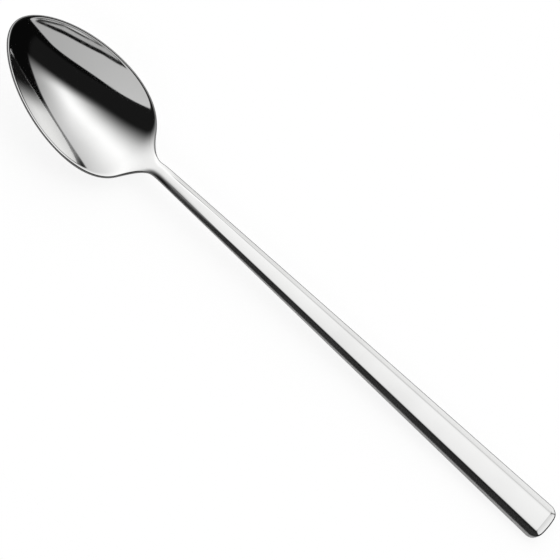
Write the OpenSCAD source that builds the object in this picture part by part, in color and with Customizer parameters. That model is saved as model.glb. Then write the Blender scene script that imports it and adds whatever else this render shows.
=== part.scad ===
// Iced tea spoon: an egg-shaped bowl, a slim neck and a tapered bar handle with planed edges.
// It lies on a table as it does in use, on the belly of the bowl and the end of the handle.
// The shapes are worked out in the handle's own frame: x runs from the tip of the bowl to the end
// of the handle, y across, and z = 0 is the flat top of the handle. place() lays that on the table.

/* [Overall] */
// Length from the tip of the bowl to the end of the handle
overall_length = 200; // [160:1:240]

/* [Bowl] */
// Length of the bowl from its tip to its heel
bowl_length = 50.8; // [42:0.2:62]
// Width of the bowl where it is widest
bowl_width = 31.7; // [26:0.1:38]
// Depth of the hollow under the rim
bowl_depth = 7.3; // [5.5:0.1:9]
// Upward tilt of the rim from the heel to the tip, in degrees
rim_tilt = 14.3; // [9:0.1:18]
// How far the rim lies under the handle's top at the heel
heel_drop = 4.5; // [2.5:0.1:6]
// Width of the flat land round the hollow
rim_land = 0.55; // [0.3:0.05:0.9]
// Thickness of the metal at the rim
rim_thickness = 0.9; // [0.7:0.05:1.3]
// Thickness of the metal under the middle of the hollow
floor_thickness = 1.4; // [1:0.05:2]

/* [Neck] */
// Width of the neck just behind the bowl
neck_width = 4.5; // [3.5:0.1:6]
// Thickness of the neck just behind the bowl
neck_thickness = 1.4; // [1.2:0.1:2.6]
// How far inside the heel the shoulders start to turn away from the bowl
shoulder_in = 2.4; // [1.4:0.1:3]
// How far behind the heel the shoulders end in the straight neck
shoulder_out = 4.1; // [3.6:0.1:6]
// How far inside the heel the top of the neck starts to rise
rise_in = 5.3; // [4:0.1:7]
// How far behind the heel the top of the neck is level with the handle
rise_out = 7.2; // [6:0.1:8.5]
// Length behind that over which the planed edges come to their full width
fade_length = 6; // [4:0.5:12]

/* [Handle] */
// Width of the handle at its end
end_width = 10.7; // [8:0.1:14]
// Thickness of the handle at its end
end_thickness = 3.2; // [2.6:0.1:4.4]
// Width of each planed edge where it starts, at the neck
edge_start = 1.15; // [0.7:0.05:1.3]
// Width of each planed edge at the end of the handle
edge_end = 2; // [1.2:0.05:2.6]
// Fall of the planed edges towards the sides, in degrees
edge_fall = 17; // [10:0.5:25]
// Length of the planed edge across the end
tail_length = 1.6; // [1:0.1:2.4]
// Radius of the two upright corners at the end
corner_radius = 3; // [1:0.1:3.5]
// Radius of the shallow arc across the end
end_radius = 22; // [12:1:60]

/* [Hidden] */

steel = "#c9ccd0";
// Flats along half of the end's shallow arc, and round each corner
end_steps = 5;
corner_steps = 14;

// How full the bowl's outline is along its length: shares of its half-width that are added
// with the first, second and third power of the place along the bowl, from -1 at the tip to 1
fullness_shares = [0.187, 0.062, 0.072];
// How much of the room there is at the neck's cut the smooth turns at the heel may take up
blend_share = 0.68;
// Rounding where the hollow meets the land, as a share of the land's width
lip_share = 0.45;
// Where the rounding at the heel grows in, as shares of the bowl's half-length from its middle
heel_shares = [0.6, 0.96];

// Where the bowl piece ends in the shoulders, as a share of their reach behind the heel
cut_share = 0.68;

half_length = bowl_length / 2;
middle_x = half_length;
heel_x = bowl_length;
cut_x = heel_x + cut_share * shoulder_out;
bar_x = heel_x + rise_out + fade_length;
end_x = overall_length;

// Stations round the bowl, along the shoulders, across the cut, from the middle to the rim
round_steps = 42;
shoulder_steps = 8;
cut_steps = 3;
ring_steps = 12;
neck_steps = 18;

function fullness(u) =
    1 + fullness_shares[0] * u + fullness_shares[1] * u ^ 2 + fullness_shares[2] * u ^ 3;
function fullness_rate(u) =
    fullness_shares[0] + 2 * fullness_shares[1] * u + 3 * fullness_shares[2] * u ^ 2;
function swell(u) = sqrt(1 - u ^ 2) * fullness(u);
function swell_rate(u) = fullness_rate(u) * sqrt(1 - u ^ 2) - u * fullness(u) / sqrt(1 - u ^ 2);

swell_samples = 200;
widest = max([for (i = [0:swell_samples]) swell(2 * i / swell_samples - 1)]);
half_width = bowl_width / 2 / widest;

// A curve that leaves 0 and arrives at 1 with no kink and no sudden bend
function ease(t) = let (s = min(max(t, 0), 1)) s ^ 3 * (10 + s * (6 * s - 15));
function mix(a, b, t) = a + (b - a) * t;
// The lower of two heights, with the crossing rounded over a height k
function soft_min(a, b, k) = min(a, b) - max(k - abs(a - b), 0) ^ 3 / (6 * k ^ 2);
function soft_max(a, b, k) = -soft_min(-a, -b, k);

// Half-width of the neck and the handle, one straight taper from the shoulders to the end
shoulder_x0 = heel_x - shoulder_in;
shoulder_x1 = heel_x + shoulder_out;
taper = (end_width - neck_width) / 2 / (end_x - shoulder_x1);
function bar_half(x) = neck_width / 2 + taper * (x - shoulder_x1);

// The shoulder is one cubic curve that leaves the bowl and joins the neck along their directions
function along(x) = (x - middle_x) / half_length;
function shoulder_half(x) =
    let (
        span = shoulder_x1 - shoulder_x0,
        t = (x - shoulder_x0) / span,
        u = along(shoulder_x0)
    )
    (2 * t ^ 3 - 3 * t ^ 2 + 1) * half_width * swell(u)
    + (t ^ 3 - 2 * t ^ 2 + t) * span * half_width / half_length * swell_rate(u)
    + (3 * t ^ 2 - 2 * t ^ 3) * bar_half(shoulder_x1)
    + (t ^ 3 - t ^ 2) * span * taper;
function plan_half(x) = x < shoulder_x1 ? shoulder_half(x) : bar_half(x);

// Height of the upper edge of the spoon seen from the side
function rim_line(x) = (heel_x - x) * tan(rim_tilt) - heel_drop;
rise_x0 = heel_x - rise_in;
rise_x1 = heel_x + rise_out;
function upper(x) = rim_line(x) * (1 - ease((x - rise_x0) / (rise_x1 - rise_x0)));

// Thickness at the edge: the rim's round the bowl, the neck's behind it, then the bar's taper
function bar_thickness(x) =
    mix(neck_thickness, end_thickness, (x - shoulder_x1) / (end_x - shoulder_x1));
function edge_thickness(x) =
    mix(rim_thickness, bar_thickness(x), ease((x - rise_x0) / (shoulder_x1 - rise_x0)));

// The square of the distance from the middle, 1 on the outline drawn in by inset
function reach(x, y, inset) =
    let (u = (x - middle_x) / (half_length - inset))
    u ^ 2 + (y / ((half_width - inset) * fullness(min(u, 1)))) ^ 2;

belly_depth = bowl_depth + floor_thickness - rim_thickness;
heel_blend = blend_share * bowl_depth * (reach(cut_x, 0, rim_land) - 1);
belly_blend = blend_share * belly_depth * (reach(cut_x, 0, 0) - 1);
function heel_part(x) = ease((along(x) - heel_shares[0]) / (heel_shares[1] - heel_shares[0]));

function top_height(x, y) =
    soft_min(
        upper(x),
        upper(x) - bowl_depth * (1 - reach(x, y, rim_land)),
        mix(lip_share * rim_land, heel_blend, heel_part(x))
    );
function bottom_height(x, y) =
    upper(x) - edge_thickness(x)
    - soft_max(
        0,
        belly_depth * (1 - reach(x, y, 0)),
        mix(lip_share * rim_land, belly_blend, heel_part(x))
    );

// The table touches the belly and the lower edge of the handle's end
belly_samples = 400;
rest_slope = max([
    for (i = [0:belly_samples])
        let (x = bowl_length * i / belly_samples)
        (-end_thickness - bottom_height(x, 0)) / (end_x - x)
]);
rest_angle = atan(rest_slope);
tail_fall = edge_end * tan(edge_fall);
reach_back = -(upper(0) - rim_thickness) * sin(rest_angle);
reach_front = end_x * cos(rest_angle) - tail_fall * sin(rest_angle);
rest_height = end_x * sin(rest_angle) + end_thickness * cos(rest_angle);

module place() {
    translate([-(reach_front - reach_back) / 2, 0, rest_height])
        rotate([0, rest_angle, 0])
            children();
}

// Places round the bowl piece, seen from above: the outline itself, and the inner side of the land
shoulder_turn = acos(along(shoulder_x0));
function egg_point(turn, inset) = [
    middle_x + (half_length - inset) * cos(turn),
    (half_width - inset) * sin(turn) * fullness(cos(turn))
];
function drawn_in(p) =
    let (way = p - [middle_x, 0])
    p - way * rim_land / norm(way);
upper_outline = concat(
    [for (i = [0:round_steps]) egg_point(mix(180, shoulder_turn, i / round_steps), 0)],
    [
        for (i = [1:shoulder_steps])
            let (x = mix(shoulder_x0, cut_x, i / shoulder_steps))
            [x, plan_half(x)]
    ],
    [for (i = [1:cut_steps]) [cut_x, plan_half(cut_x) * (1 - i / cut_steps)]]
);
upper_inline = [
    for (i = [0:len(upper_outline) - 1])
        i <= round_steps
            ? egg_point(mix(180, shoulder_turn, i / round_steps), rim_land)
            : drawn_in(upper_outline[i])
];
function both_sides(half) = concat(
    half,
    [for (i = [len(half) - 2:-1:1]) [half[i][0], -half[i][1]]]
);
outline = both_sides(upper_outline);
inline = both_sides(upper_inline);

// Joins rings of points, each given from one side to the other, into one closed solid
function ring_faces(low, high, count, flip) = [
    for (i = [0:count - 1])
        let (
            j = (i + 1) % count,
            a = low + i,
            b = low + j,
            c = high + j,
            d = high + i
        )
        each flip ? [[a, b, c], [a, c, d]] : [[a, c, b], [a, d, c]]
];
function fan_faces(hub, first, count, flip) = [
    for (i = [0:count - 1])
        let (a = first + i, b = first + (i + 1) % count)
        flip ? [hub, b, a] : [hub, a, b]
];

module bowl() {
    count = len(outline);
    plan = [
        for (k = [1:ring_steps])
            let (share = sin(90 * k / ring_steps))
            [for (p = inline) [middle_x, 0] + (p - [middle_x, 0]) * share],
        outline
    ];
    rings = len(plan);
    top = [for (ring = plan) for (p = ring) [p[0], p[1], top_height(p[0], p[1])]];
    bottom = [for (ring = plan) for (p = ring) [p[0], p[1], bottom_height(p[0], p[1])]];
    hubs = [
        [middle_x, 0, top_height(middle_x, 0)],
        [middle_x, 0, bottom_height(middle_x, 0)]
    ];
    under = rings * count;
    color(steel)
        place()
            polyhedron(
                points = concat(top, bottom, hubs),
                faces = concat(
                    fan_faces(2 * under, 0, count, false),
                    fan_faces(2 * under + 1, under, count, true),
                    [for (k = [0:rings - 2])
                        each ring_faces(k * count, (k + 1) * count, count, false)],
                    [for (k = [0:rings - 2])
                        each ring_faces(under + k * count, under + (k + 1) * count, count, true)],
                    ring_faces((rings - 1) * count, under + (rings - 1) * count, count, false)
                ),
                convexity = 4
            );
}

// The planed edges grow in along the neck, from nothing at the cut
function edge_width(x) = mix(edge_start, edge_end, (x - bar_x) / (end_x - bar_x));
function edge_drop(x) = edge_width(x) * tan(edge_fall) * ease((x - cut_x) / (bar_x - cut_x));
function neck_section(x) =
    let (
        w = plan_half(x),
        b = edge_width(x),
        high = upper(x),
        side = high - edge_drop(x),
        low = high - edge_thickness(x)
    )
    [
        [x, -w, low],
        [x, w, low],
        [x, w, side],
        [x, w - b, high],
        [x, b - w, high],
        [x, -w, side]
    ];

module neck() {
    sections = [
        for (i = [0:neck_steps])
            neck_section(mix(cut_x, bar_x, i / neck_steps))
    ];
    count = len(sections[0]);
    last = neck_steps * count;
    color(steel)
        place()
            polyhedron(
                points = [for (s = sections) each s],
                faces = concat(
                    [[for (i = [0:count - 1]) i]],
                    [for (k = [0:neck_steps - 1])
                        each ring_faces(k * count, (k + 1) * count, count, false)],
                    [[for (i = [count - 1:-1:0]) last + i]]
                ),
                convexity = 2
            );
}

// Everything on the outer side of a plane through a point, as a block that overruns the handle
overrun = 2 * overall_length;
module beyond(point, normal) {
    translate(point)
        rotate([0, acos(normal[2] / norm(normal)), atan2(normal[1], normal[0])])
            translate([-overrun / 2, -overrun / 2, 0])
                cube(overrun);
}

function heading(turn) = [cos(turn), sin(turn)];

// The handle from above: a straight taper, a shallow arc across the end and two round corners
module handle_plan() {
    lean = atan(taper);
    hub_x = end_x - end_radius;
    // each corner's arc touches the leaning side and, from the inside, the shallow arc
    inner = end_radius - corner_radius;
    start = bar_half(hub_x) - corner_radius / cos(lean);
    steep = 1 + taper ^ 2;
    corner_x = hub_x + (sqrt(steep * inner ^ 2 - start ^ 2) - start * taper) / steep;
    corner_y = start + taper * (corner_x - hub_x);
    spread = atan2(corner_y, corner_x - hub_x);
    half = concat(
        [
            for (i = [0:end_steps])
                [hub_x, 0] + end_radius * heading(spread * i / end_steps)
        ],
        [
            for (i = [1:corner_steps])
                [corner_x, corner_y]
                + corner_radius * heading(mix(spread, 90 + lean, i / corner_steps))
        ],
        [[bar_x, bar_half(bar_x)]]
    );
    polygon(concat(half, [for (i = [len(half) - 1:-1:1]) [half[i][0], -half[i][1]]]));
}

module handle() {
    fall = tan(edge_fall);
    inner_start = bar_half(bar_x) - edge_start;
    inner_end = bar_half(end_x) - edge_end;
    inner_slope = (inner_end - inner_start) / (end_x - bar_x);
    color(steel)
        place()
            difference() {
                intersection() {
                    translate([0, 0, -2 * end_thickness])
                        linear_extrude(2 * end_thickness)
                            handle_plan();
                    rotate([90, 0, 0])
                        linear_extrude(2 * end_width, center = true)
                            polygon([
                                [bar_x, 0],
                                [bar_x, -bar_thickness(bar_x)],
                                [end_x, -end_thickness],
                                [end_x, 0]
                            ]);
                }
                for (side = [-1, 1])
                    beyond([bar_x, side * inner_start, 0], [-fall * inner_slope, side * fall, 1]);
                beyond([end_x - tail_length, 0, 0], [tail_fall / tail_length, 0, 1]);
            }
}

bowl();
neck();
handle();
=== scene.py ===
# %% [markdown]
# # An iced tea spoon in mirror-polished steel
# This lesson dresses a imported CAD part: a long spoon for tall glasses, lying on a table. The real
# spoon is one forging of stainless steel, polished until it works as a mirror. A mirror has no
# colour of its own, so two things decide how it looks: how smoothly the surface bends, and what
# stands around it. We build the surfaces first, then the steel, then the studio that it reflects.

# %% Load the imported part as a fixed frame
import math

import bpy
import numpy as np
from mathutils import Matrix, Vector


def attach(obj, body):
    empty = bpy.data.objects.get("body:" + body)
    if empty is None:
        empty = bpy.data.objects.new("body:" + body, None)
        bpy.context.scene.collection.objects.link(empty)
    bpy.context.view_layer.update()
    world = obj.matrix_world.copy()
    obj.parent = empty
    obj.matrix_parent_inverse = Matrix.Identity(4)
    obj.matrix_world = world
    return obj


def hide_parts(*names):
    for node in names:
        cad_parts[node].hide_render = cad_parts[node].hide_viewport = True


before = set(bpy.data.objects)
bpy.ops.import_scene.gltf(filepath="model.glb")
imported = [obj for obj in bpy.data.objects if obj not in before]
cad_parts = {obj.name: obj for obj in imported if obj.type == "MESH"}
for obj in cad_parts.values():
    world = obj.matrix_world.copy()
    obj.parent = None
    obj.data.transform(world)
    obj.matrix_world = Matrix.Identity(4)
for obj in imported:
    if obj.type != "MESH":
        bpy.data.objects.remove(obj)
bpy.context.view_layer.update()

print("CAD nodes:", sorted(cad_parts))

# %% [markdown]
# ## The sizes
# A scene can't read the part's source, so the lesson repeats its named sizes, in millimetres.
# They are given in the handle's own frame: x runs from the tip of the bowl to the end of the
# handle, y goes across, and z = 0 is the flat top of the handle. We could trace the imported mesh
# instead, but its facets would show in every reflection. Formulas give a skin as fine as we like.

# %% Sizes of the spoon, in millimetres and degrees
MM = 0.001
overall_length = 200.0
bowl_length = 50.8
bowl_width = 31.7
bowl_depth = 7.3
rim_tilt = 14.3
heel_drop = 4.5
rim_land = 0.55
rim_thickness = 0.9
floor_thickness = 1.4
neck_width = 4.5
neck_thickness = 1.4
shoulder_in = 2.4
shoulder_out = 4.1
rise_in = 5.3
rise_out = 7.2
fade_length = 6.0
end_width = 10.7
end_thickness = 3.2
edge_start = 1.15
edge_end = 2.0
edge_fall = 17.0
corner_radius = 3.0
end_radius = 22.0

# Shares for the egg's fullness, the soft turns at the heel and the place of the cut
fullness_shares = (0.187, 0.062, 0.072)
blend_share = 0.68
heel_shares = (0.6, 0.96)
cut_share = 0.68

# These three are the scene's own. In the photograph the strip across the end looks a little longer
# and flatter than in the source, and the lip of the hollow a little rounder.
tail_length = 2.1
tail_slope = 0.14
lip_height = 0.42

half_length = bowl_length / 2
middle_x = half_length
heel_x = bowl_length
cut_x = heel_x + cut_share * shoulder_out
bar_x = heel_x + rise_out + fade_length
end_x = overall_length
tail_x = end_x - tail_length
fall = math.tan(math.radians(edge_fall))
print(f"The bowl ends at {cut_x:.1f} mm and the handle starts at {bar_x:.1f} mm.")

# %% [markdown]
# ## The curves
# Steel that is ground and buffed has no sudden bends, and a mirror shows even a small one as a
# broken reflection. So every change of shape here uses one of two helpers. `ease` goes from 0 to 1
# with no kink and no sudden bend, and with `mix` it leads from one size to another. `soft_min` takes
# the lower of two heights and rounds the crossing, as a buffing wheel rounds a crease.

# %% Helpers that keep the reflections whole
def ease(t):
    """From 0 at t = 0 to 1 at t = 1, level and without a bend at both ends."""
    s = np.clip(t, 0, 1)
    return s ** 3 * (10 + s * (6 * s - 15))


def mix(a, b, t):
    return a + (b - a) * t


def soft_min(a, b, k):
    """The lower of two heights, rounded off where they differ by less than k."""
    return np.minimum(a, b) - np.maximum(k - np.abs(a - b), 0) ** 3 / (6 * k ** 2)


def soft_max(a, b, k):
    return -soft_min(-a, -b, k)


print(f"Halfway ease gives {ease(0.5):.2f}. A crossing that is rounded by 1 mm lies "
      f"{-soft_min(0, 0, 1):.2f} mm lower.")

# %% [markdown]
# ## The outline seen from above
# The bowl is an egg, fuller towards the heel. A cubic curve carries its edge into the neck, and the
# neck and the handle are one straight taper.

# %% The outline's half-width along the spoon
def along(x):
    """The place along the bowl, from -1 at its tip to 1 at its heel."""
    return (x - middle_x) / half_length


def fullness(u):
    a, b, c = fullness_shares
    return 1 + a * u + b * u ** 2 + c * u ** 3


def fullness_rate(u):
    a, b, c = fullness_shares
    return a + 2 * b * u + 3 * c * u ** 2


def swell(u):
    return np.sqrt(np.clip(1 - u ** 2, 0, None)) * fullness(u)


def swell_rate(u):
    root = math.sqrt(1 - u ** 2)
    return fullness_rate(u) * root - u * fullness(u) / root


outline_steps = 201
widest_swell = swell(np.linspace(-1, 1, outline_steps)).max()
half_width = bowl_width / 2 / widest_swell
shoulder_x0 = heel_x - shoulder_in
shoulder_x1 = heel_x + shoulder_out
taper = (end_width - neck_width) / 2 / (end_x - shoulder_x1)


def bar_half(x):
    return neck_width / 2 + taper * (x - shoulder_x1)


def shoulder_half(x):
    span = shoulder_x1 - shoulder_x0
    t = (x - shoulder_x0) / span
    u = along(shoulder_x0)
    start = half_width * swell(u)
    start_rate = half_width / half_length * swell_rate(u)
    return (
        (2 * t ** 3 - 3 * t ** 2 + 1) * start
        + (t ** 3 - 2 * t ** 2 + t) * span * start_rate
        + (3 * t ** 2 - 2 * t ** 3) * bar_half(shoulder_x1)
        + (t ** 3 - t ** 2) * span * taper
    )


def plan_half(x):
    return np.where(x < shoulder_x1, shoulder_half(x), bar_half(x))


print(f"Widest half of the bowl: {half_width * widest_swell:.2f} mm")

# %% [markdown]
# ## The heights
# Seen from the side, the rim is a straight line that tilts up towards the tip. The hollow hangs
# under it as a shallow bowl whose depth falls off with the square of the distance from the middle,
# and the belly follows underneath. At the heel the hollow runs out softly into the neck.

# %% Heights of the bowl's two skins
rise_x0 = heel_x - rise_in
rise_x1 = heel_x + rise_out


def rim_line(x):
    return (heel_x - x) * math.tan(math.radians(rim_tilt)) - heel_drop


def upper(x):
    return rim_line(x) * (1 - ease((x - rise_x0) / (rise_x1 - rise_x0)))


def bar_thickness(x):
    return mix(neck_thickness, end_thickness, (x - shoulder_x1) / (end_x - shoulder_x1))


def edge_thickness(x):
    return mix(rim_thickness, bar_thickness(x), ease((x - rise_x0) / (shoulder_x1 - rise_x0)))


def reach(x, y, inset):
    """0 in the bowl's middle and 1 on its outline, which is drawn in by inset."""
    u = (x - middle_x) / (half_length - inset)
    return u ** 2 + (y / ((half_width - inset) * fullness(np.minimum(u, 1)))) ** 2


belly_depth = bowl_depth + floor_thickness - rim_thickness
heel_blend = blend_share * bowl_depth * (reach(cut_x, 0, rim_land) - 1)
belly_blend = blend_share * belly_depth * (reach(cut_x, 0, 0) - 1)


def heel_part(x):
    return ease((along(x) - heel_shares[0]) / (heel_shares[1] - heel_shares[0]))


def hollow_top(x, y):
    hollow = upper(x) - bowl_depth * (1 - reach(x, y, rim_land))
    return soft_min(upper(x), hollow, mix(lip_height, heel_blend, heel_part(x)))


def belly_bottom(x, y):
    belly = belly_depth * (1 - reach(x, y, 0))
    bulge = soft_max(0, belly, mix(lip_height / 2, belly_blend, heel_part(x)))
    return upper(x) - edge_thickness(x) - bulge


hollow_depth = float(upper(middle_x) - hollow_top(middle_x, 0))
print(f"In its middle the hollow lies {hollow_depth:.2f} mm under the rim.")

# %% [markdown]
# ## The bar's heights
# The handle is a flat bar with a planed strip along each long edge and one across the end. In the
# photograph the strips' inner edges are crisp along the handle and melt into a round crown at the
# neck, where the polishing wheel reaches all round the metal. `crease_half` is how far that
# rounding reaches to each side of the crease. Each pair of places, such as `plane_x0` and
# `plane_x1`, says where along the spoon a change begins and where it is complete.

# %% Heights of the neck and the handle
plane_x0 = 49.4
plane_x1 = 55.8
neck_crease = 0.92
bar_crease = 0.09
crease_x0 = 60.0
crease_x1 = 86.0
wide_edge = 1.1
wide_x0 = 56.0
wide_x1 = 74.0
crown = 0.05
# soft_min divides by the slope, so it never gets to 0.
least_slope = 1e-5


def edge_width(x):
    width = mix(edge_start, edge_end, (x - bar_x) / (end_x - bar_x))
    return width * mix(wide_edge, 1, ease((x - wide_x0) / (wide_x1 - wide_x0)))


def inner_half(x):
    return bar_half(x) - edge_width(x)


def edge_slope(x):
    return fall * ease((x - plane_x0) / (plane_x1 - plane_x0)) + least_slope


def crease_half(x):
    return mix(neck_crease, bar_crease, ease((x - crease_x0) / (crease_x1 - crease_x0)))


def side_fall(x, y):
    inner = plan_half(np.maximum(x, shoulder_x0)) - edge_width(x)
    slope = edge_slope(x)
    pillow = crown * (y / bar_half(x)) ** 2 * ease((x - cut_x) / (bar_x - cut_x))
    return soft_min(-pillow, -(np.abs(y) - inner) * slope, crease_half(x) * slope)


def bowl_top(x, y):
    return hollow_top(x, y) + side_fall(x, y)


def bar_top(x, y):
    tail = -(x - tail_x) * tail_slope
    return upper(x) + soft_min(side_fall(x, y), tail, bar_crease * tail_slope)


def bar_bottom(x, y):
    return upper(x) - edge_thickness(x) + 0 * y


print(f"Planed edges: {edge_width(bar_x):.2f} mm wide at first, {edge_width(end_x):.2f} mm at the end")

# %% [markdown]
# ## Lying on the table
# The part rests on the belly and on the lower edge of the handle's end, so the handle's frame is
# turned by a small angle and lifted. The same sums as in the part's source give the turn.

# %% Turn and lift from the handle's frame to the table
belly_steps = 401
belly_x = np.linspace(0, bowl_length, belly_steps)
rest_slope = ((-end_thickness - belly_bottom(belly_x, 0)) / (end_x - belly_x)).max()
rest_angle = math.atan(rest_slope)
tail_fall = edge_end * fall
reach_back = -(upper(0) - rim_thickness) * math.sin(rest_angle)
reach_front = end_x * math.cos(rest_angle) - tail_fall * math.sin(rest_angle)
rest_height = end_x * math.sin(rest_angle) + end_thickness * math.cos(rest_angle)
shift_x = -(reach_front - reach_back) / 2
# The skin is drawn in by a hair along and across the spoon, so that it never leaves the CAD's box.
keep_inside = Vector((0.9998, 0.9993, 1))


def turned(v):
    """A direction in the handle's frame, as a direction in the table's frame."""
    x, y, z = v
    c, s = math.cos(rest_angle), math.sin(rest_angle)
    return Vector((x * c + z * s, y, -x * s + z * c))


def placed(p):
    """A point of the handle's frame in millimetres, as a point on the table in metres."""
    return (turned(p) + Vector((shift_x, 0, rest_height))) * keep_inside * MM


print(f"The handle leans {math.degrees(rest_angle):.2f} degrees from the table.")

# %% [markdown]
# ## One skin for three pieces
# The record knows three pieces: bowl, neck and handle. The metal runs on without a seam from one to
# the next, so if each were meshed alone, the shading would break at the cuts. We gather the points
# and faces of the whole spoon in one `Skin` and give each face to a piece. The normals come from
# the whole skin, weighted by face area, so that broad flats stay flat and only the narrow rounds
# turn the light.

# %% A skin that collects points and faces
class Skin:
    def __init__(self):
        self.points = []
        self.faces = {}
        self.caps = {}
        self.edges = []

    def add(self, x, y, z):
        """Adds points and returns their numbers, in the shape in which they came."""
        x, y, z = np.broadcast_arrays(x, y, z)
        first = len(self.points)
        self.points.extend(zip(x.ravel().tolist(), y.ravel().tolist(), z.ravel().tolist()))
        return first + np.arange(x.size).reshape(x.shape)

    def mark_edge(self, rows, stop):
        """Remembers each row's points before number `stop` as a rounded edge, for the finish and its
        painted shade.
        """
        self.edges.extend(np.asarray(rows)[..., :stop].ravel().tolist())

    def weave(self, piece, rows):
        """Joins each row of points to the next with quads. A repeated point makes a triangle."""
        rows = np.asarray(rows)
        faces = self.faces.setdefault(piece, [])
        for low, high in zip(rows[:-1], rows[1:]):
            for a, b, c, d in zip(low[:-1], high[:-1], high[1:], low[1:]):
                ring = list(dict.fromkeys((int(a), int(b), int(c), int(d))))
                if len(ring) > 2:
                    faces.append(ring)

    def fill(self, piece, ring):
        """Adds one face with any number of corners."""
        self.faces.setdefault(piece, []).append([int(i) for i in ring])

    def cap(self, piece, ring):
        """A flat face inside the metal, where two pieces meet."""
        self.caps.setdefault(piece, []).append([int(i) for i in ring])


skin = Skin()
print("The skin starts with", len(skin.points), "points.")

# %% [markdown]
# ## Rounded edges
# No edge of real cutlery is sharp. At each place along the outline, `edge_round` makes the small
# arc from the top skin into the side wall, then the arc from the wall into the underside. Each arc
# starts along the slope that the surface has there, so the light runs over it without a step. A
# Bevel modifier could do this too, but it can't follow a surface that is given by a formula.

# %% The rounded edge at places along the outline
round_steps = 5


def edge_round(x, y, way_x, way_y, top, bottom, r_top, r_low):
    """Points from the top skin over the edge to the underside, one row for each outline place."""
    def arc(height, radius, sign):
        z = sign * height(x, y)
        rise = (sign * height(x + way_x * radius, y + way_y * radius) - z) / radius
        start = np.arctan(rise)
        hub = z + radius * rise - radius * np.sqrt(1 + rise ** 2)
        share = np.linspace(0, 1, round_steps + 1)
        turn = start[:, None] + (math.pi / 2 - start)[:, None] * share
        radius = np.broadcast_to(radius, x.shape)[:, None]
        inset = radius * (1 - np.sin(turn))
        return inset, sign * (hub[:, None] + radius * np.cos(turn))

    inset_top, z_top = arc(top, r_top, 1)
    inset_low, z_low = arc(bottom, r_low, -1)
    inset = np.concatenate([inset_top, inset_low[:, ::-1]], axis=1)
    z = np.concatenate([z_top, z_low[:, ::-1]], axis=1)
    return x[:, None] + way_x[:, None] * inset, y[:, None] + way_y[:, None] * inset, z


# %% The rounds' sizes along the spoon
# A name with `start` says where a size begins to change, and one with `change` over what length.
rim_round = 0.2
heel_round = 0.38
bar_round = 0.3
tip_round = 0.42
low_rim_round = 0.25
low_neck_round = 0.45
low_bar_round = 0.22
heel_start = 3.0
heel_change = 12.0
tip_start = 3.2
tip_change = 2.4
low_neck_change = 6.0
low_bar_x = 64.0
low_bar_change = 40.0


def top_round(x):
    rim = mix(rim_round, heel_round, ease((x - middle_x - heel_start) / heel_change))
    side = mix(rim, bar_round, ease((x - heel_x) / heel_change))
    return mix(side, tip_round, ease((x - end_x + tip_start) / tip_change))


def low_round(x):
    low = mix(low_rim_round, low_neck_round, ease((x - heel_x) / low_neck_change))
    return mix(low, low_bar_round, ease((x - low_bar_x) / low_bar_change))


print(f"Rounds at the heel: {top_round(heel_x):.2f} mm above, {low_round(heel_x):.2f} mm below")

# %% [markdown]
# ## The neck and the handle
# Both are swept: one cross-section after another along x, each made of the same number of points.
# The crease has its own points, which spread out or close up with the rounding.

# %% One side of a cross-section
flat_steps = 7
crease_steps = 8
plane_shares = np.array([0.35, 0.7, 0.97])
under_steps = 4
# The crease's rounding takes up at most these shares of the flat inside it and the strip outside it.
room_inside = 0.95
room_outside = 0.9
arc_first = flat_steps + crease_steps + len(plane_shares)
band_stop = arc_first + 2 * (round_steps + 1)
profile_size = band_stop + under_steps


def half_section(x):
    """Point numbers of one section's right and left half, from the top's middle to the underside's."""
    w = float(plan_half(x))
    inner = w - float(edge_width(x))
    one = np.array([x])
    arc_x, arc_y, arc_z = edge_round(
        one, np.array([w]), np.zeros(1), -np.ones(1), bar_top, bar_bottom, top_round(one), low_round(one)
    )
    outer = arc_y[0, 0]
    half = min(float(crease_half(x)), inner * room_inside, (outer - inner) * room_outside)
    y = np.concatenate([
        np.linspace(0, inner - half, flat_steps),
        inner + half * np.linspace(-1, 1, crease_steps + 1)[1:],
        mix(inner + half, outer, plane_shares),
    ])
    under = np.linspace(arc_y[0, -1], 0, under_steps + 1)[1:]
    all_y = np.concatenate([y, arc_y[0], under])
    all_z = np.concatenate([bar_top(x, y), arc_z[0], bar_bottom(x, under)])
    right = skin.add(x, all_y, all_z)
    left = skin.add(x, -all_y, all_z)
    left[0] = right[0]
    left[-1] = right[-1]
    skin.mark_edge([right[arc_first:], left[arc_first:]], round_steps)
    return right, left


print(f"Half a section has {profile_size} points.")

# %% Sweep the neck and the straight part of the handle
neck_steps = 40
bar_steps = 60
bar_middle_x = 90.0
corner_room = 3.3
neck_x = np.linspace(cut_x, bar_x, neck_steps)
front_x = np.linspace(bar_x, bar_middle_x, bar_steps)[1:]
back_x = np.linspace(bar_middle_x, end_x - corner_room, bar_steps)[1:]
sections = [half_section(x) for x in np.concatenate([neck_x, front_x, back_x])]
right = np.array([s[0] for s in sections])
left = np.array([s[1] for s in sections])
split = len(neck_x) - 1


def weave_sides(piece, first, last):
    skin.weave(piece, right[first:last + 1])
    skin.weave(piece, left[first:last + 1][::-1])


def section_ring(i):
    return list(right[i]) + list(left[i][-2:0:-1])


weave_sides("neck", 0, split)
weave_sides("handle", split, len(sections) - 1)
skin.cap("neck", section_ring(0))
skin.cap("neck", section_ring(split)[::-1])
skin.cap("handle", section_ring(split))
print(f"{len(sections)} sections from the cut to the corners")

# %% [markdown]
# ## The handle's end
# Round the end the sections can't go on, because the outline turns. There, rows of points fan out
# from the crease to the outline: straight back across the end, and like a hand of cards round the
# two corners. One row follows the ridge where the side's planed strip meets the end's.

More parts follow.
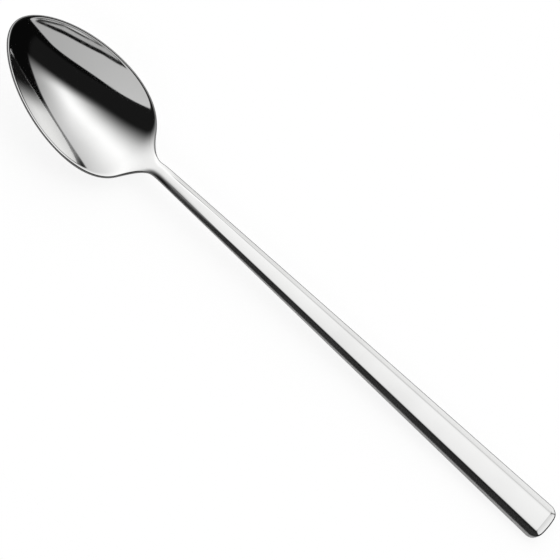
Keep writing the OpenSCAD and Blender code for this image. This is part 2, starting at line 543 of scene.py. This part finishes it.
# %% The outline round the end
# The corner's centre lies one corner radius inside the handle's side and inside the end's arc.
lean = math.atan(taper)
hub_x = end_x - end_radius
inner_radius = end_radius - corner_radius
hub_half = bar_half(hub_x) - corner_radius / math.cos(lean)
steep = 1 + taper ** 2
corner_x = hub_x + (math.sqrt(steep * inner_radius ** 2 - hub_half ** 2) - hub_half * taper) / steep
corner_y = hub_half + taper * (corner_x - hub_x)
spread = math.atan2(corner_y, corner_x - hub_x)


def corner_point(turn):
    return corner_x + corner_radius * np.cos(turn), corner_y + corner_radius * np.sin(turn)


def end_point(y):
    """The outline's point straight behind y, and the way inwards from it."""
    on_arc = np.abs(y) <= end_radius * math.sin(spread)
    turn_arc = np.arcsin(np.clip(y / end_radius, -1, 1))
    turn_corner = np.arcsin(np.clip((np.abs(y) - corner_y) / corner_radius, -1, 1))
    arc_x = hub_x + end_radius * np.cos(turn_arc)
    round_x = corner_x + corner_radius * np.cos(turn_corner)
    x = np.where(on_arc, arc_x, round_x)
    turn = np.where(on_arc, turn_arc, np.sign(y) * turn_corner)
    return x, -np.cos(turn), -np.sin(turn)


# The ridge ends where both planed strips are equally low on the corner's arc.
search_steps = 2000
side_turn = math.pi / 2 + lean
last_inner = float(inner_half(tail_x))
turns = np.linspace(spread, side_turn, search_steps)
ridge_x, ridge_y = corner_point(turns)
gap = (ridge_y - inner_half(ridge_x)) * fall - (ridge_x - tail_x) * tail_slope
ridge_turn = float(turns[np.argmin(np.abs(gap))])
print(f"The ridge meets the outline {math.degrees(ridge_turn):.0f} degrees round the corner.")

# %% Rows that fan out round the end
crease_offsets = bar_crease * np.linspace(-1, 1, crease_steps + 1)[1:]
side_rows = 10
back_rows = 7
ridge_gap = math.radians(1.1)


def end_row(seed, from_x, from_y, x, y, way_x, way_y):
    """One row from the crease outwards over the edge. `seed` is its first point's number."""
    arc_x, arc_y, arc_z = edge_round(
        np.array([x]), np.array([y]), np.array([way_x]), np.array([way_y]),
        bar_top, bar_bottom, top_round(x), low_bar_round,
    )
    out_x, out_y = arc_x[0, 0], arc_y[0, 0]
    px = np.concatenate([from_x, from_x[-1] + (out_x - from_x[-1]) * plane_shares])
    py = np.concatenate([from_y, from_y[-1] + (out_y - from_y[-1]) * plane_shares])
    top = skin.add(px, py, bar_top(px, py))
    edge = skin.add(arc_x[0], arc_y[0], arc_z[0])
    skin.mark_edge(edge, round_steps)
    return np.concatenate([[seed], top, edge])


def end_rows(side, last_row):
    """The rows from the long side round the corner to the end's middle, on one side of the handle."""
    corner = np.array([tail_x, side * last_inner])
    seed = last_row[-1]
    last_turn = math.asin((last_inner - corner_y) / corner_radius)
    fan = np.concatenate([
        np.linspace(side_turn, ridge_turn + 3 * ridge_gap, side_rows),
        ridge_turn + ridge_gap * np.array([2, 1, 0, -1, -2]),
        np.linspace(ridge_turn - 3 * ridge_gap, last_turn, back_rows),
    ])
    rows = []
    for turn in fan:
        x, y = corner_point(turn)
        way = np.array([x, side * y]) - corner
        way = way / np.linalg.norm(way)
        step = np.where(crease_offsets > 0, crease_offsets, 0)
        back = np.where(crease_offsets < 0, crease_offsets, 0)
        from_x = corner[0] + way[0] * step + back
        from_y = corner[1] + way[1] * step + side * back
        rows.append(end_row(seed, from_x, from_y, x, side * y, -math.cos(turn), -side * math.sin(turn)))
    flat_y = np.linspace(0, last_inner - bar_crease, flat_steps)[::-1][1:]
    for number, y0 in zip(last_row[::-1][1:], flat_y):
        scale = last_inner / (last_inner - bar_crease)
        along_y = side * y0 * mix(1, scale, np.clip(crease_offsets / bar_crease + 1, 0, 1))
        x, way_x, way_y = (float(v[0]) for v in end_point(np.array([side * y0 * scale])))
        rows.append(end_row(number, tail_x + crease_offsets, along_y, x, side * y0 * scale, way_x, way_y))
    return rows


flat_y = np.linspace(0, last_inner - bar_crease, flat_steps)
tail_right = skin.add(tail_x - bar_crease, flat_y, bar_top(tail_x - bar_crease, flat_y))
tail_left = skin.add(tail_x - bar_crease, -flat_y, bar_top(tail_x - bar_crease, flat_y))
tail_left[0] = tail_right[0]
skin.weave("handle", [right[-1][:flat_steps], tail_right])
skin.weave("handle", [tail_left, left[-1][:flat_steps]])

rows_right = end_rows(1, tail_right)
rows_left = end_rows(-1, tail_left)
rows = [right[-1][flat_steps - 1:band_stop]] + rows_right
rows += rows_left[:-1][::-1] + [left[-1][flat_steps - 1:band_stop]]
skin.weave("handle", rows)
under = [row[-1] for row in rows]
skin.fill("handle", list(right[-1][band_stop:-1]) + list(left[-1][band_stop:][::-1]) + under[::-1])
print(f"{len(rows)} rows round the end")

# %% [markdown]
# ## The bowl
# The bowl is woven from rings. Its outer ring follows the rim, then runs down the shoulders to the
# cut, where it takes over the neck's own points. The rings close in on the middle, dense at the
# rounded lip of the hollow and even after that.

# %% The rim's rounded edge
egg_steps = 210
shoulder_steps = 44
square_length = 2.4
shoulder_turn = math.acos(along(shoulder_x0))
turn = np.linspace(math.pi, shoulder_turn, egg_steps + 1)
egg_x = middle_x + half_length * np.cos(turn)
egg_y = half_width * np.sin(turn) * fullness(np.cos(turn))
side_x = np.linspace(shoulder_x0, cut_x, shoulder_steps + 1)[1:]
rim_x = np.concatenate([egg_x, side_x])
rim_y = np.concatenate([egg_y, plan_half(side_x)])
rim_y[0] = 0.0

# At the tip both halves meet on the middle line, and the outline runs straight across it.
run_x = np.gradient(rim_x)
run_y = np.gradient(rim_y)
run_x[0] = 0.0
run = np.hypot(run_x, run_y)
way_x = run_y / run
way_y = -run_x / run

# Towards the cut the way inwards turns square to the spoon, as it is in the neck's sections.
square = ease((rim_x - (cut_x - square_length)) / square_length)
way_x = way_x * (1 - square)
way_y = mix(way_y, -1, square)
way_size = np.hypot(way_x, way_y)
way_x, way_y = way_x / way_size, way_y / way_size

edge_x, edge_y, edge_z = edge_round(
    rim_x, rim_y, way_x, way_y, bowl_top, belly_bottom, top_round(rim_x), low_round(rim_x)
)
rim_right = skin.add(edge_x[:-1], edge_y[:-1], edge_z[:-1])
rim_left = skin.add(edge_x[:-1], -edge_y[:-1], edge_z[:-1])
rim_left[0] = rim_right[0]
skin.mark_edge([rim_right, rim_left], -1)
rim_right = np.vstack([rim_right, right[0][arc_first:band_stop]])
rim_left = np.vstack([rim_left, left[0][arc_first:band_stop]])
skin.weave("bowl", rim_right)
skin.weave("bowl", rim_left[::-1])
print(f"{len(rim_x)} places along each half of the rim")

# %% Rings from the rim to the middle, above and below
lip_steps = 18
lip_reach = 1.1
inner_rings = 54


def close_in(first_ring, height, hub_z, flip):
    """Weaves nested rings from first_ring to a hub in the middle of the bowl."""
    plan = np.array([skin.points[i] for i in first_ring])[:, :2]
    way = plan - [middle_x, 0]
    far = np.linalg.norm(way, axis=1, keepdims=True)
    rings = [np.asarray(first_ring)]
    for step in np.linspace(0, lip_reach, lip_steps + 1)[1:]:
        p = plan - way / far * step
        rings.append(skin.add(p[:, 0], p[:, 1], height(p[:, 0], p[:, 1])))
    lip = plan - way / far * lip_reach
    for share in np.linspace(1, 0, inner_rings + 1)[1:-1]:
        p = [middle_x, 0] + (lip - [middle_x, 0]) * share
        rings.append(skin.add(p[:, 0], p[:, 1], height(p[:, 0], p[:, 1])))
    hub = skin.add(np.array([middle_x]), np.array([0.0]), np.array([hub_z]))
    rings.append(np.full(len(first_ring), hub[0]))
    rings = [np.append(ring, ring[0]) for ring in rings]
    skin.weave("bowl", [ring[::-1] for ring in rings] if flip else rings)


top_ring = list(rim_right[:, 0]) + list(right[0][:arc_first][::-1])
top_ring += list(left[0][1:arc_first]) + list(rim_left[::-1, 0][:-1])
close_in(top_ring, bowl_top, float(bowl_top(middle_x, 0.0)), False)
low_ring = list(rim_right[:, -1]) + list(right[0][band_stop:])
low_ring += list(left[0][band_stop:-1][::-1]) + list(rim_left[::-1, -1][:-1])
close_in(low_ring, belly_bottom, float(belly_bottom(middle_x, 0.0)), True)
skin.cap("bowl", section_ring(0)[::-1])
print({piece: len(faces) for piece, faces in skin.faces.items()})

# %% [markdown]
# ## Normals and meshes
# Blender can smooth each mesh by itself, but then the faces inside the metal, at the cuts, would
# bend the shading next to them. So the normals are summed here, face by face over the whole skin,
# and handed to each mesh.

# %% Normals of the whole skin
points = np.array(skin.points)


def face_normal(ring):
    """A face's normal, as long as the face's area."""
    p = points[ring]
    return 0.5 * np.cross(p, np.roll(p, -1, axis=0)).sum(axis=0)


normals = np.zeros_like(points)
for faces in skin.faces.values():
    for ring in faces:
        normals[ring] += face_normal(ring)
tiny = 1e-12
length = np.linalg.norm(normals, axis=1, keepdims=True)
normals /= np.maximum(length, tiny)
print(f"{len(points)} points have a normal.")

# %% [markdown]
# ## Marks for the finish and the painted shade
# A steel edge never looks quite like the flats beside it: the wheel leaves a fine duller line along each
# crease and round the outer edge. These lines are also painted nearly black, as painted shade for the
# dark surroundings that the rounded edges and creases reflect. The planed strips keep a coarser polish
# than the top, and near the neck they carry a faint painted shade as well. So two numbers travel with
# each point: the strength of the painted dark line from 0 to 1, and `planed`, 1 on the strips.
# A texture painted by hand could hold them too, but here a distance says it exactly. First we find
# where each point lies: beside a crease, beside the ridge at a corner, or on the strip across the end.

# %% Where each point lies
line_x0 = 57.0
line_x1 = 63.0
close = 0.01
px, py, pz = points.T
side_y = np.abs(py)
on_bar = ease((px - line_x0) / (line_x1 - line_x0))
on_top = pz > upper(px) - 0.5 * edge_thickness(px)
inner_y = plan_half(np.maximum(px, shoulder_x0)) - edge_width(px)

ridge_way = np.array(corner_point(ridge_turn)) - [tail_x, last_inner]
ridge_way = ridge_way / np.linalg.norm(ridge_way)
past_ridge = ((px - tail_x) * ridge_way[0] + (side_y - last_inner) * ridge_way[1]) > 0
off_ridge = (px - tail_x) * ridge_way[1] - (side_y - last_inner) * ridge_way[0]
on_tail = (px > tail_x) & (off_ridge > 0)
print(f"{int(on_tail.sum())} points lie at the end, between the two ridges.")

# %% Marks along the creases and edges, and on the planed strips
line_half = 0.12
ridge_spread = 0.4
ridge_start = 0.2
tail_line_length = 1.5
planed_start = 0.2
# Strengths of the painted shade on the lines. The same marks add roughness in the same measure.
crease_mark = 0.62
tail_mark = 0.27
planed_mark = 0.12
planed_mark_x = 70.0
planed_mark_length = 60.0
rim_mark = 0.75
side_mark = 0.85
end_mark = 0.97
end_change = 1.2


def near_line(distance):
    return np.clip(1 - np.abs(distance) / line_half, 0, 1)


crease_line = near_line(side_y - inner_y) * (px < tail_x + close)
ridge_line = near_line(off_ridge * ridge_spread) * past_ridge * (px > tail_x - ridge_start)
tail_line = np.clip(1 - (px - tail_x) / tail_line_length, 0, 1)
tail_line = tail_line * (px > tail_x - close) * (off_ridge > -close)
# Each crease, each ridge and the strip across the end get a dark line: painted shade, with some added
# roughness.
painted_dark_line = np.maximum(crease_line * crease_mark, ridge_line)
painted_dark_line = np.maximum(painted_dark_line, tail_line * tail_mark) * on_top * on_bar
planed = np.clip((side_y - inner_y) / planed_start, 0, 1) * on_top * on_bar * ~on_tail
# Near the neck the planed strips get a faint painted shade, which fades towards the handle's end.
fading = 1 - ease((px - planed_mark_x) / planed_mark_length)
painted_dark_line = np.maximum(painted_dark_line, planed_mark * planed * fading)
# The rounded outer edges get the strongest painted shade, for the dark that they reflect, darker towards
# the handle's end.
edge_mark = mix(side_mark, end_mark, ease((px - tail_x) / end_change))
painted_dark_line[skin.edges] = mix(rim_mark, edge_mark, on_bar)[skin.edges]
print(f"{int((painted_dark_line > 0).sum())} points on fine lines, {int((planed > 0).sum())} on planed strips")

# %% [markdown]
# ## The three pieces
# Each piece gets the faces of its own part of the skin, and a flat cap at each cut, so that it is
# closed like the solid it stands for. A face of the skin takes the skin's normals and a cap its own.

# %% One mesh for each piece
spoon_pieces = {}
piece_names = {"bowl": "spoon_bowl", "neck": "spoon_neck", "handle": "spoon_handle"}


def volume(rings):
    return sum(float(np.dot(points[ring[0]], face_normal(ring))) for ring in rings) / 3


for node, name in piece_names.items():
    rings = skin.faces[node] + skin.caps[node]
    used = np.unique(np.concatenate([np.array(ring) for ring in rings]))
    number = {int(old): new for new, old in enumerate(used)}
    mesh = bpy.data.meshes.new(name)
    places = [tuple(placed(points[i])) for i in used]
    mesh.from_pydata(places, [], [[number[i] for i in ring] for ring in rings])
    mesh.update()
    mesh.polygons.foreach_set("use_smooth", np.ones(len(rings), bool))
    corner_normals = []
    for ring in skin.faces[node]:
        corner_normals += [turned(normals[i]) for i in ring]
    for ring in skin.caps[node]:
        flat_normal = face_normal(ring)
        corner_normals += [turned(flat_normal / np.linalg.norm(flat_normal))] * len(ring)
    mesh.normals_split_custom_set(corner_normals)
    # The painted dark line and the planed strips travel with each mesh's points as attributes.
    for mark, values in {"painted_dark_line": painted_dark_line, "planed": planed}.items():
        mesh.attributes.new(mark, "FLOAT", "POINT").data.foreach_set("value", values[used])
    piece = bpy.data.objects.new(name, mesh)
    bpy.context.scene.collection.objects.link(piece)
    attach(piece, "root")
    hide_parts(node)
    spoon_pieces[node] = piece
    print(f"{name}: {len(rings)} faces, {volume(rings):.1f} cubic millimetres")

# %% [markdown]
# ## Shader maths as Python
# A material in Blender is a graph of nodes. Wiring it by hand takes many lines, so one small class
# wraps a node's output socket and lets us write sums. Each operator adds a Math node. `Nodes` makes
# any other node from its type, its settings and the values or links of its inputs. A Mix node has
# several inputs of the same name, so its colours are asked for by number.

# %% A socket that can be added and multiplied
class Value:
    def __init__(self, nodes, socket):
        self.nodes = nodes
        self.socket = socket

    def __add__(self, other):
        return self.nodes.math("ADD", self, other)

    def __radd__(self, other):
        return self.nodes.math("ADD", other, self)

    def __sub__(self, other):
        return self.nodes.math("SUBTRACT", self, other)

    def __rsub__(self, other):
        return self.nodes.math("SUBTRACT", other, self)

    def __mul__(self, other):
        return self.nodes.math("MULTIPLY", self, other)

    def __rmul__(self, other):
        return self.nodes.math("MULTIPLY", other, self)

    def __truediv__(self, other):
        return self.nodes.math("DIVIDE", self, other)

    def __pow__(self, other):
        return self.nodes.math("POWER", self, other)


class Nodes:
    """Makes nodes in one tree, and takes numbers, colours or Values for their inputs."""

    def __init__(self, tree):
        self.tree = tree
        tree.nodes.clear()

    def make(self, kind, settings=None, inputs=None, output=0):
        node = self.tree.nodes.new(kind)
        for key, value in (settings or {}).items():
            setattr(node, key, value)
        for key, value in (inputs or {}).items():
            if isinstance(value, Value):
                self.tree.links.new(value.socket, node.inputs[key])
            else:
                node.inputs[key].default_value = value
        return Value(self, node.outputs[output]) if node.outputs else node

    def math(self, operation, *values):
        return self.make("ShaderNodeMath", {"operation": operation}, dict(enumerate(values)))

    def blend(self, factor, first, second):
        """The first colour where the factor is 0, the second where it is 1."""
        return self.make("ShaderNodeMix", {"data_type": "RGBA"}, {0: factor, 6: first, 7: second}, 2)

    def dot(self, vector, other):
        settings = {"operation": "DOT_PRODUCT"}
        return self.make("ShaderNodeVectorMath", settings, {0: vector, 1: other}, "Value")

    def ramp(self, value, low, high, kind="SMOOTHSTEP"):
        """0 below low and 1 above high, with a smooth change between them unless kind says another."""
        inputs = {"Value": value, "From Min": low, "From Max": high}
        return self.make("ShaderNodeMapRange", {"interpolation_type": kind}, inputs)


# %% [markdown]
# ## The steel
# Polished stainless steel is a mirror with a very slight warm grey. Three things keep it from looking
# like a computer's mirror: the surface still waves a little from forging and grinding, the wheel leaves
# hair-fine scratches that run along the spoon, and handling leaves patches that are a touch duller. All
# three are patterns in the object's own space, at their real size. The two marks add to the roughness
# too. The fine lines are also painted nearly black, as they look in the photograph: this is painted
# shade, standing in for the dark surroundings that the rounded edges and creases reflect.

# %% The polished steel's material
wave_height = 0.000012
wave_scale = 120
hair_scale = 900
hair_stretch = (0.03, 1, 1)
patch_scale = 70
clean_steel = (0.79, 0.79, 0.785, 1)
handled_steel = (0.75, 0.75, 0.745, 1)
# Painted shade: the nearly black colour of the fine lines, for the dark that the edges and creases
# reflect.
painted_line_shade = (0.04, 0.04, 0.04, 1)
clean_rough = 0.045
patch_rough = 0.03
hair_rough = 0.03
planed_rough = 0.13
line_rough = 0.1


def polished_steel():
    material = bpy.data.materials.new("polished_steel")
    material.use_nodes = True
    n = Nodes(material.node_tree)
    place = n.make("ShaderNodeTexCoord", output="Object")

    def noise(scale, detail, stretch=(1, 1, 1)):
        spot = n.make("ShaderNodeMapping", None, {"Vector": place, "Scale": stretch})
        return n.make("ShaderNodeTexNoise", None, {"Vector": spot, "Scale": scale, "Detail": detail})

    def mark(name):
        return n.make("ShaderNodeAttribute", {"attribute_name": name}, output="Fac")

    wave = noise(wave_scale, 1)
    hair = n.ramp(noise(hair_scale, 2, hair_stretch), low=0.52, high=0.75)
    patch = n.ramp(noise(patch_scale, 3), low=0.42, high=0.72)
    # The fine lines add roughness and are painted nearly black, as painted shade.
    line = mark("painted_dark_line")
    worn = clean_rough + patch_rough * patch + hair_rough * hair
    rough = worn + planed_rough * mark("planed") + line_rough * line
    tone = n.blend(line, n.blend(patch, clean_steel, handled_steel), painted_line_shade)
    bump = n.make("ShaderNodeBump", None, {"Strength": 1.0, "Distance": wave_height, "Height": wave})
    finish = {"Base Color": tone, "Metallic": 1.0, "Roughness": rough, "Normal": bump}
    steel = n.make("ShaderNodeBsdfPrincipled", None, finish)
    n.make("ShaderNodeOutputMaterial", None, {"Surface": steel})
    return material


steel_material = polished_steel()
for piece in spoon_pieces.values():
    piece.data.materials.append(steel_material)
print("Nodes in the steel:", len(steel_material.node_tree.nodes))

# %% [markdown]
# ## The table
# The spoon lies on a pale table. To the camera the table is white, as in a catalogue picture, and
# the spoon's soft shadow stays: most of the light that the camera sees is a white emission, and the
# rest is the real diffuse table, which can fall into shadow. Seen in the steel the diffuse part is
# larger, because a real table next to a spoon isn't as bright as the page around a picture. A camera
# under the table looks through it, so that the spoon's underside can be looked at too.

# %% A pale floor that keeps the shadow
# The plain table looks as bright as `floor_level` in this light. The emission makes up the rest.
camera_share = 0.66
glossy_share = 0.1
floor_grey = 0.82
floor_level = 0.445
floor_long = 0.24
floor_wide = 0.09
floor_drop = 0.0001


def floor_material():
    material = bpy.data.materials.new("pale_table")
    material.use_nodes = True
    n = Nodes(material.node_tree)
    plain = n.make("ShaderNodeBsdfDiffuse", None, {"Color": (floor_grey, floor_grey, floor_grey, 1)})
    strength = (1 - (1 - camera_share) * floor_level) / camera_share
    white = n.make("ShaderNodeEmission", None, {"Color": (1, 1, 1, 1), "Strength": strength})
    camera_ray = n.make("ShaderNodeLightPath", output="Is Camera Ray")
    glossy_ray = n.make("ShaderNodeLightPath", output="Is Glossy Ray")
    share = camera_ray * camera_share + glossy_ray * glossy_share
    shown = n.make("ShaderNodeMixShader", None, {0: share, 1: plain, 2: white})
    from_below = camera_ray * n.make("ShaderNodeNewGeometry", output="Backfacing")
    clear = n.make("ShaderNodeBsdfTransparent")
    seen = n.make("ShaderNodeMixShader", None, {0: from_below, 1: shown, 2: clear})
    n.make("ShaderNodeOutputMaterial", None, {"Surface": seen})
    return material


floor_mesh = bpy.data.meshes.new("pale_table")
signs = [(-1, -1), (1, -1), (1, 1), (-1, 1)]
corners = [(a * floor_long, b * floor_wide, -floor_drop) for a, b in signs]
floor_mesh.from_pydata(corners, [], [(0, 1, 2, 3)])
floor_mesh.materials.append(floor_material())
floor = bpy.data.objects.new("pale_table", floor_mesh)
bpy.context.scene.collection.objects.link(floor)
print(f"The table is {2 * floor_long:.2f} m long and {2 * floor_wide:.2f} m wide.")

# %% [markdown]
# ## The studio
# A mirror shows its surroundings, so the studio is drawn on the sky by direction: a large cloth
# panel overhead towards the spoon's far side, a smaller grey panel on the near side, and darkness
# round the camera between them. Lamps could stand there instead, but a panel in the sky is the same
# from every place along the spoon and hides nothing from a camera. A panel's straight edge is a
# plane through the spoon: the sign of a dot product says on which side of it a direction lies, and
# a wider ramp makes that edge softer. Angles are given from straight up and round from the handle.

# %% Directions in the sky
def sky(theta, azimuth):
    """A direction from its angle from straight up and its angle round from the handle's end."""
    t, a = math.radians(theta), math.radians(azimuth)
    return tuple(turned((math.sin(t) * math.cos(a), math.sin(t) * math.sin(a), math.cos(t))))


world = bpy.data.worlds.new("studio")
bpy.context.scene.world = world
world.use_nodes = True
n = Nodes(world.node_tree)
ray = n.make("ShaderNodeTexCoord", output="Generated")


def edge(first, second, inside, soft):
    """A mask that is 1 on one side of a straight edge, and changes within `soft` degrees of it.

    The edge runs through the first two directions, and the third lies on the side that is 1.
    """
    normal = Vector(sky(*first)).cross(Vector(sky(*second))).normalized()
    if normal.dot(Vector(sky(*inside))) < 0:
        normal = -normal
    half = math.sin(math.radians(soft))
    return n.ramp(n.dot(ray, tuple(normal)), -half, half)


def depth(*corners):
    """How far a direction lies inside a row of straight edges, on the side of straight up."""
    places = [Vector(sky(*corner)) for corner in corners]
    sides = [a.cross(b).normalized() for a, b in zip(places, places[1:])]
    up = Vector(sky(0, 0))
    depths = [n.dot(ray, tuple(side if side.dot(up) > 0 else -side)) for side in sides]
    least = depths[0]
    for other in depths[1:]:
        least = n.math("MINIMUM", least, other)
    return least


def toward(centre, low, high):
    """Grows as the ray comes closer to a direction, between two values of the dot product."""
    return n.ramp(n.dot(ray, sky(*centre)), low, high)


print("Straight up from the handle, in the sky:", [round(v, 3) for v in sky(0, 0)])

# %% The large panel overhead
# Its near side fades into the dark, as a cloth panel does where no lamp stands behind it. Steel gives
# back about 0.78 of the light that falls on it, so the panel is brighter than it looks in the steel.
steel_grey = 0.78
glow_level = 0.06
corner_dimming = 0.95
far_dimming = 0.66
panel_middle = (45, 90)
fade = n.ramp(n.dot(ray, sky(90.9, 90.8)), low=-0.26, high=0.58, kind="LINEAR")
fade = (fade * (2 - fade)) ** 2
glow = 1 + glow_level * toward((24, 45), low=0.85, high=1.0)
corner_fade = toward((66.0, 125.7), low=0.059, high=0.326) ** 1.05
right_edge = edge((73.5, 35), (79.1, 60), panel_middle, soft=0.9)
far_edge = edge((80.4, 60), (81.7, 80), panel_middle, soft=0.8)
far_edge = far_edge * edge((81.4, 75), (85.5, 100), panel_middle, soft=0.8)
dim_corner = 1 - corner_dimming * toward((84.2, 34.1), low=0.7, high=1.18)
dim_far = 1 - far_dimming * toward((100.7, 78.9), low=0.24, high=1.4)
overhead = fade * glow * corner_fade * right_edge * far_edge * dim_corner * dim_far * (1 / steel_grey)
print("Nodes up to the large panel:", len(world.node_tree.nodes))

# %% The grey panel on the near side
# Towards the handle's end its upper edge reaches higher up, and its light falls off.
panel_level = 0.67
panel_falloff = 0.29
upper_edge = 0.804
upper_reach = 0.322
least_height = 0.03
upper_soft = 0.012
lower_soft = 0.007
ray_x = n.dot(ray, sky(90, 0))
ray_y = n.dot(ray, sky(90, 90))
ray_z = n.dot(ray, sky(0, 0))
slide = n.ramp(ray_x / n.math("MAXIMUM", ray_z, least_height), low=0.5, high=1.88)
upper_slope = upper_edge - upper_reach * slide
near_edge = n.ramp(-1 * ray_y - ray_z * upper_slope, -upper_soft, upper_soft)
panel = n.ramp(depth((73.3, -14.5), (70.8, -36), (68.8, -58), (66.4, -68)), -lower_soft, lower_soft)
panel_light = panel * (1 - panel_falloff * ray_x) * panel_level
print("Nodes up to the grey panel:", len(world.node_tree.nodes))

# %% The strips near the table
# Below the grey panel come its stand, as a dark line, a strip of the wall and one more thin line.
# On the far side a faint strip shows under the large panel.
strip_level = 0.48
low_gain = 0.15
line_darkness = 0.95
line_end = 0.016
low_soft = 0.01
far_level = 0.22
strip_edge = depth((73.5, -14.5), (74.4, -20), (74.0, -35), (71.9, -57), (69.8, -66))
thin_line = depth((73.4, -14.0), (75.1, -20), (77.3, -38), (75.4, -57))
strip = (1 - panel) * (1 - n.ramp(strip_edge, -lower_soft, lower_soft))
line = 1 - n.ramp(n.math("ABSOLUTE", thin_line), lower_soft, line_end)
low = 1 - n.ramp(thin_line, -low_soft, low_soft)
strip_light = strip * (1 - line_darkness * line) * (strip_level + low_gain * low)
near = near_edge * (panel_light + strip_light)
far_start = edge((0, 0), (90, 66), (80, 90), soft=3.0)
far_stop = edge((0, 0), (90, 86), (80, 60), soft=2.0)
far_strip = far_start * far_stop * (1 - far_edge) * far_level
print("Nodes up to the strips:", len(world.node_tree.nodes))

# %% Light the scene with the studio
# The dark round the camera isn't even: the camera and its stand are a little paler than the rest.
dark_level = 0.003
stand_level = 0.0075
stand_soft = 0.03
stand = n.ramp(depth((45.4, -33), (66.5, 0.5), (67.2, 9.7)), -stand_soft, stand_soft)
light = overhead + near + far_strip + (dark_level + stand_level * stand)
studio = n.make("ShaderNodeBackground", None, {"Color": (1, 1, 1, 1), "Strength": light})
white = n.make("ShaderNodeBackground", None, {"Color": (1, 1, 1, 1), "Strength": 1.0})
camera_ray = n.make("ShaderNodeLightPath", output="Is Camera Ray")
shown = n.make("ShaderNodeMixShader", None, {0: camera_ray, 1: studio, 2: white})
n.make("ShaderNodeOutputWorld", None, {"Surface": shown})
print("Nodes in the studio:", len(world.node_tree.nodes))

# %% [markdown]
# ## The camera
# The photograph is taken with a long lens from about a metre, a little from the spoon's near side.
# The axes of its picture are worked out in the handle's frame and then turned onto the table. A last
# nudge, by a part of a pixel, lays the spoon over the one in the photograph.

# %% Place the camera
camera_distance = 1.0
sensor_width = 36.0
pixels = 560
pixels_per_mm = 3.684
view_roll = math.radians(19)
view_pitch = math.radians(-4)
spin = math.radians(42.55)
aim = (overall_length / 2 + 0.05, 0, 0)
nudge_left = 0.64
nudge_up = 0.5

flat = math.cos(view_pitch)
back = Vector((math.sin(view_pitch), -math.sin(view_roll) * flat, math.cos(view_roll) * flat))
level = (Vector((1, 0, 0)) - back * back.x).normalized()
across = back.cross(level)
picture_right = level * math.cos(spin) + across * math.sin(spin)
picture_up = -level * math.sin(spin) + across * math.cos(spin)
back, picture_right, picture_up = (turned(v) for v in (back, picture_right, picture_up))
nudge = (picture_up * nudge_up - picture_right * nudge_left) * MM / pixels_per_mm
camera_data = bpy.data.cameras.new("camera")
camera_data.sensor_width = sensor_width
camera_data.lens = sensor_width * pixels_per_mm / MM * camera_distance / pixels
camera_data.clip_end = 20.0
camera = bpy.data.objects.new("camera", camera_data)
bpy.context.scene.collection.objects.link(camera)
facing = Matrix((picture_right, picture_up, back)).transposed().to_4x4()
camera.matrix_world = Matrix.Translation(placed(aim) + nudge + back * camera_distance) @ facing
bpy.context.scene.camera = camera
bpy.context.scene.view_settings.view_transform = "Standard"
print(f"Lens {camera_data.lens:.0f} mm at {camera_distance} m")
